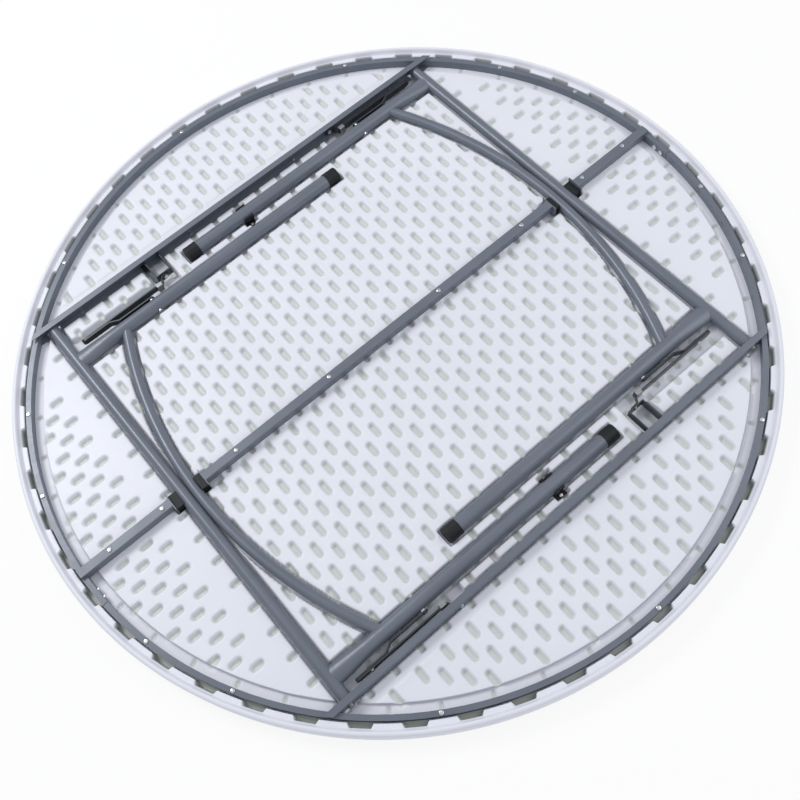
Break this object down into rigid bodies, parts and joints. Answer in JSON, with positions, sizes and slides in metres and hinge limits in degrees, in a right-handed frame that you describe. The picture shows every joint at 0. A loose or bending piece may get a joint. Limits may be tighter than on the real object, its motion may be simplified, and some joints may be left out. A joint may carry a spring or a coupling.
{
  "type": "folding table",
  "caption": "Round folding table lying face down: hollow moulded top, steel rim frame, two tubular leg sets folded flat with locking braces.",
  "frame": {"origin": "centre of the tabletop's outer face, which lies on the floor", "axes": "+Z out of the underside, up when the table lies face down; +X along the side rails; leg set A pivots at -X, leg set B at +X"},
  "size_m": [1.5998, 1.5998, 0.0464],
  "materials": {
    "panel": "fine grained blow-moulded white polyethylene",
    "frame_coat": "satin blue-grey powder coat",
    "black_plastic": "moulded, slightly glossy",
    "dark_steel": "dark coated strip steel",
    "bright_steel": "zinc plated"
  },
  "bodies": {
    "tabletop": {"anchor_spacers": "bright_steel", "brace_bracket_a": "frame_coat", "brace_bracket_b": "frame_coat", "centre_rail": "frame_coat", "centre_rail_screws": "bright_steel", "clip_screws": "bright_steel", "leg_clip_a": "black_plastic", "leg_clip_b": "black_plastic", "pivot_pins": "bright_steel", "rail_rivets": "bright_steel", "ring_half_lower": "frame_coat", "ring_half_upper": "frame_coat", "ring_screws": "bright_steel", "saddle_a_inner": "black_plastic", "saddle_a_outer": "black_plastic", "saddle_b_inner": "black_plastic", "saddle_b_outer": "black_plastic", "side_rail_lower": "frame_coat", "side_rail_screws": "bright_steel", "side_rail_upper": "frame_coat", "splice_bolts": "bright_steel", "splice_nuts": "bright_steel", "stub_rail_a": "frame_coat", "stub_rail_b": "frame_coat", "stub_rail_screws": "bright_steel", "table_top": "panel"},
    "leg_set_a": {"arc_brace_a": "frame_coat", "foot_cap_a_inner": "black_plastic", "foot_cap_a_outer": "black_plastic", "leg_rivets_a": "bright_steel", "leg_tube_a_inner": "frame_coat", "leg_tube_a_outer": "frame_coat", "pivot_tube_a": "frame_coat", "tube_plugs_a": "black_plastic"},
    "rail_bar_a_inner": {"rail_link_a_inner": "dark_steel", "elbow_rivet_a_inner": "bright_steel"},
    "leg_bar_a_inner": {"leg_link_a_inner": "dark_steel"},
    "loop_a_inner": {"lock_ring_a_inner": "bright_steel"},
    "rail_bar_a_outer": {"rail_link_a_outer": "dark_steel", "elbow_rivet_a_outer": "bright_steel"},
    "leg_bar_a_outer": {"leg_link_a_outer": "dark_steel"},
    "loop_a_outer": {"lock_ring_a_outer": "bright_steel"},
    "leg_set_b": {"arc_brace_b": "frame_coat", "foot_cap_b_inner": "black_plastic", "foot_cap_b_outer": "black_plastic", "leg_rivets_b": "bright_steel", "leg_tube_b_inner": "frame_coat", "leg_tube_b_outer": "frame_coat", "pivot_tube_b": "frame_coat", "tube_plugs_b": "black_plastic"},
    "rail_bar_b_inner": {"rail_link_b_inner": "dark_steel", "elbow_rivet_b_inner": "bright_steel"},
    "leg_bar_b_inner": {"leg_link_b_inner": "dark_steel"},
    "loop_b_inner": {"lock_ring_b_inner": "bright_steel"},
    "rail_bar_b_outer": {"rail_link_b_outer": "dark_steel", "elbow_rivet_b_outer": "bright_steel"},
    "leg_bar_b_outer": {"leg_link_b_outer": "dark_steel"},
    "loop_b_outer": {"lock_ring_b_outer": "bright_steel"}
  },
  "joints": [
    {"name": "leg_a_fold", "type": "hinge", "parent": "tabletop", "child": "leg_set_a", "pos_m": [-0.524, 0, 0.026], "axis": [0, -1, 0], "range_deg": [0, 90]},
    {"name": "rail_bar_a_inner_turn", "type": "hinge", "parent": "tabletop", "child": "rail_bar_a_inner", "pos_m": [-0.259, 0.445, 0.026], "axis": [0, 1, 0], "range_deg": [0, 37.86]},
    {"name": "elbow_a_inner_turn", "type": "hinge", "parent": "rail_bar_a_inner", "child": "leg_bar_a_inner", "pos_m": [-0.45633, 0.445, 0.026], "axis": [0, -1, 0], "range_deg": [0, 180]},
    {"name": "loop_a_inner_slide", "type": "slide", "parent": "rail_bar_a_inner", "child": "loop_a_inner", "axis": [-1, 0, 0], "range_m": [0, 0.102]},
    {"name": "rail_bar_a_outer_turn", "type": "hinge", "parent": "tabletop", "child": "rail_bar_a_outer", "pos_m": [-0.259, -0.505, 0.026], "axis": [0, 1, 0], "range_deg": [0, 37.86]},
    {"name": "elbow_a_outer_turn", "type": "hinge", "parent": "rail_bar_a_outer", "child": "leg_bar_a_outer", "pos_m": [-0.45633, -0.505, 0.026], "axis": [0, -1, 0], "range_deg": [0, 180]},
    {"name": "loop_a_outer_slide", "type": "slide", "parent": "rail_bar_a_outer", "child": "loop_a_outer", "axis": [-1, 0, 0], "range_m": [0, 0.102]},
    {"name": "leg_b_fold", "type": "hinge", "parent": "tabletop", "child": "leg_set_b", "pos_m": [0.524, 0, 0.026], "axis": [0, 1, 0], "range_deg": [0, 90]},
    {"name": "rail_bar_b_inner_turn", "type": "hinge", "parent": "tabletop", "child": "rail_bar_b_inner", "pos_m": [0.259, -0.445, 0.026], "axis": [0, -1, 0], "range_deg": [0, 37.86]},
    {"name": "elbow_b_inner_turn", "type": "hinge", "parent": "rail_bar_b_inner", "child": "leg_bar_b_inner", "pos_m": [0.45633, -0.445, 0.026], "axis": [0, 1, 0], "range_deg": [0, 180]},
    {"name": "loop_b_inner_slide", "type": "slide", "parent": "rail_bar_b_inner", "child": "loop_b_inner", "axis": [1, 0, 0], "range_m": [0, 0.102]},
    {"name": "rail_bar_b_outer_turn", "type": "hinge", "parent": "tabletop", "child": "rail_bar_b_outer", "pos_m": [0.259, 0.505, 0.026], "axis": [0, -1, 0], "range_deg": [0, 37.86]},
    {"name": "elbow_b_outer_turn", "type": "hinge", "parent": "rail_bar_b_outer", "child": "leg_bar_b_outer", "pos_m": [0.45633, 0.505, 0.026], "axis": [0, 1, 0], "range_deg": [0, 180]},
    {"name": "loop_b_outer_slide", "type": "slide", "parent": "rail_bar_b_outer", "child": "loop_b_outer", "axis": [1, 0, 0], "range_m": [0, 0.102]}
  ],
  "couplings": [
    {"joint": "rail_bar_a_inner_turn", "follows": "leg_a_fold", "ratio": 0.42067},
    {"joint": "elbow_a_inner_turn", "follows": "leg_a_fold", "ratio": 2},
    {"joint": "rail_bar_a_outer_turn", "follows": "leg_a_fold", "ratio": 0.42067},
    {"joint": "elbow_a_outer_turn", "follows": "leg_a_fold", "ratio": 2},
    {"joint": "rail_bar_b_inner_turn", "follows": "leg_b_fold", "ratio": 0.42067},
    {"joint": "elbow_b_inner_turn", "follows": "leg_b_fold", "ratio": 2},
    {"joint": "rail_bar_b_outer_turn", "follows": "leg_b_fold", "ratio": 0.42067},
    {"joint": "elbow_b_outer_turn", "follows": "leg_b_fold", "ratio": 2}
  ]
}
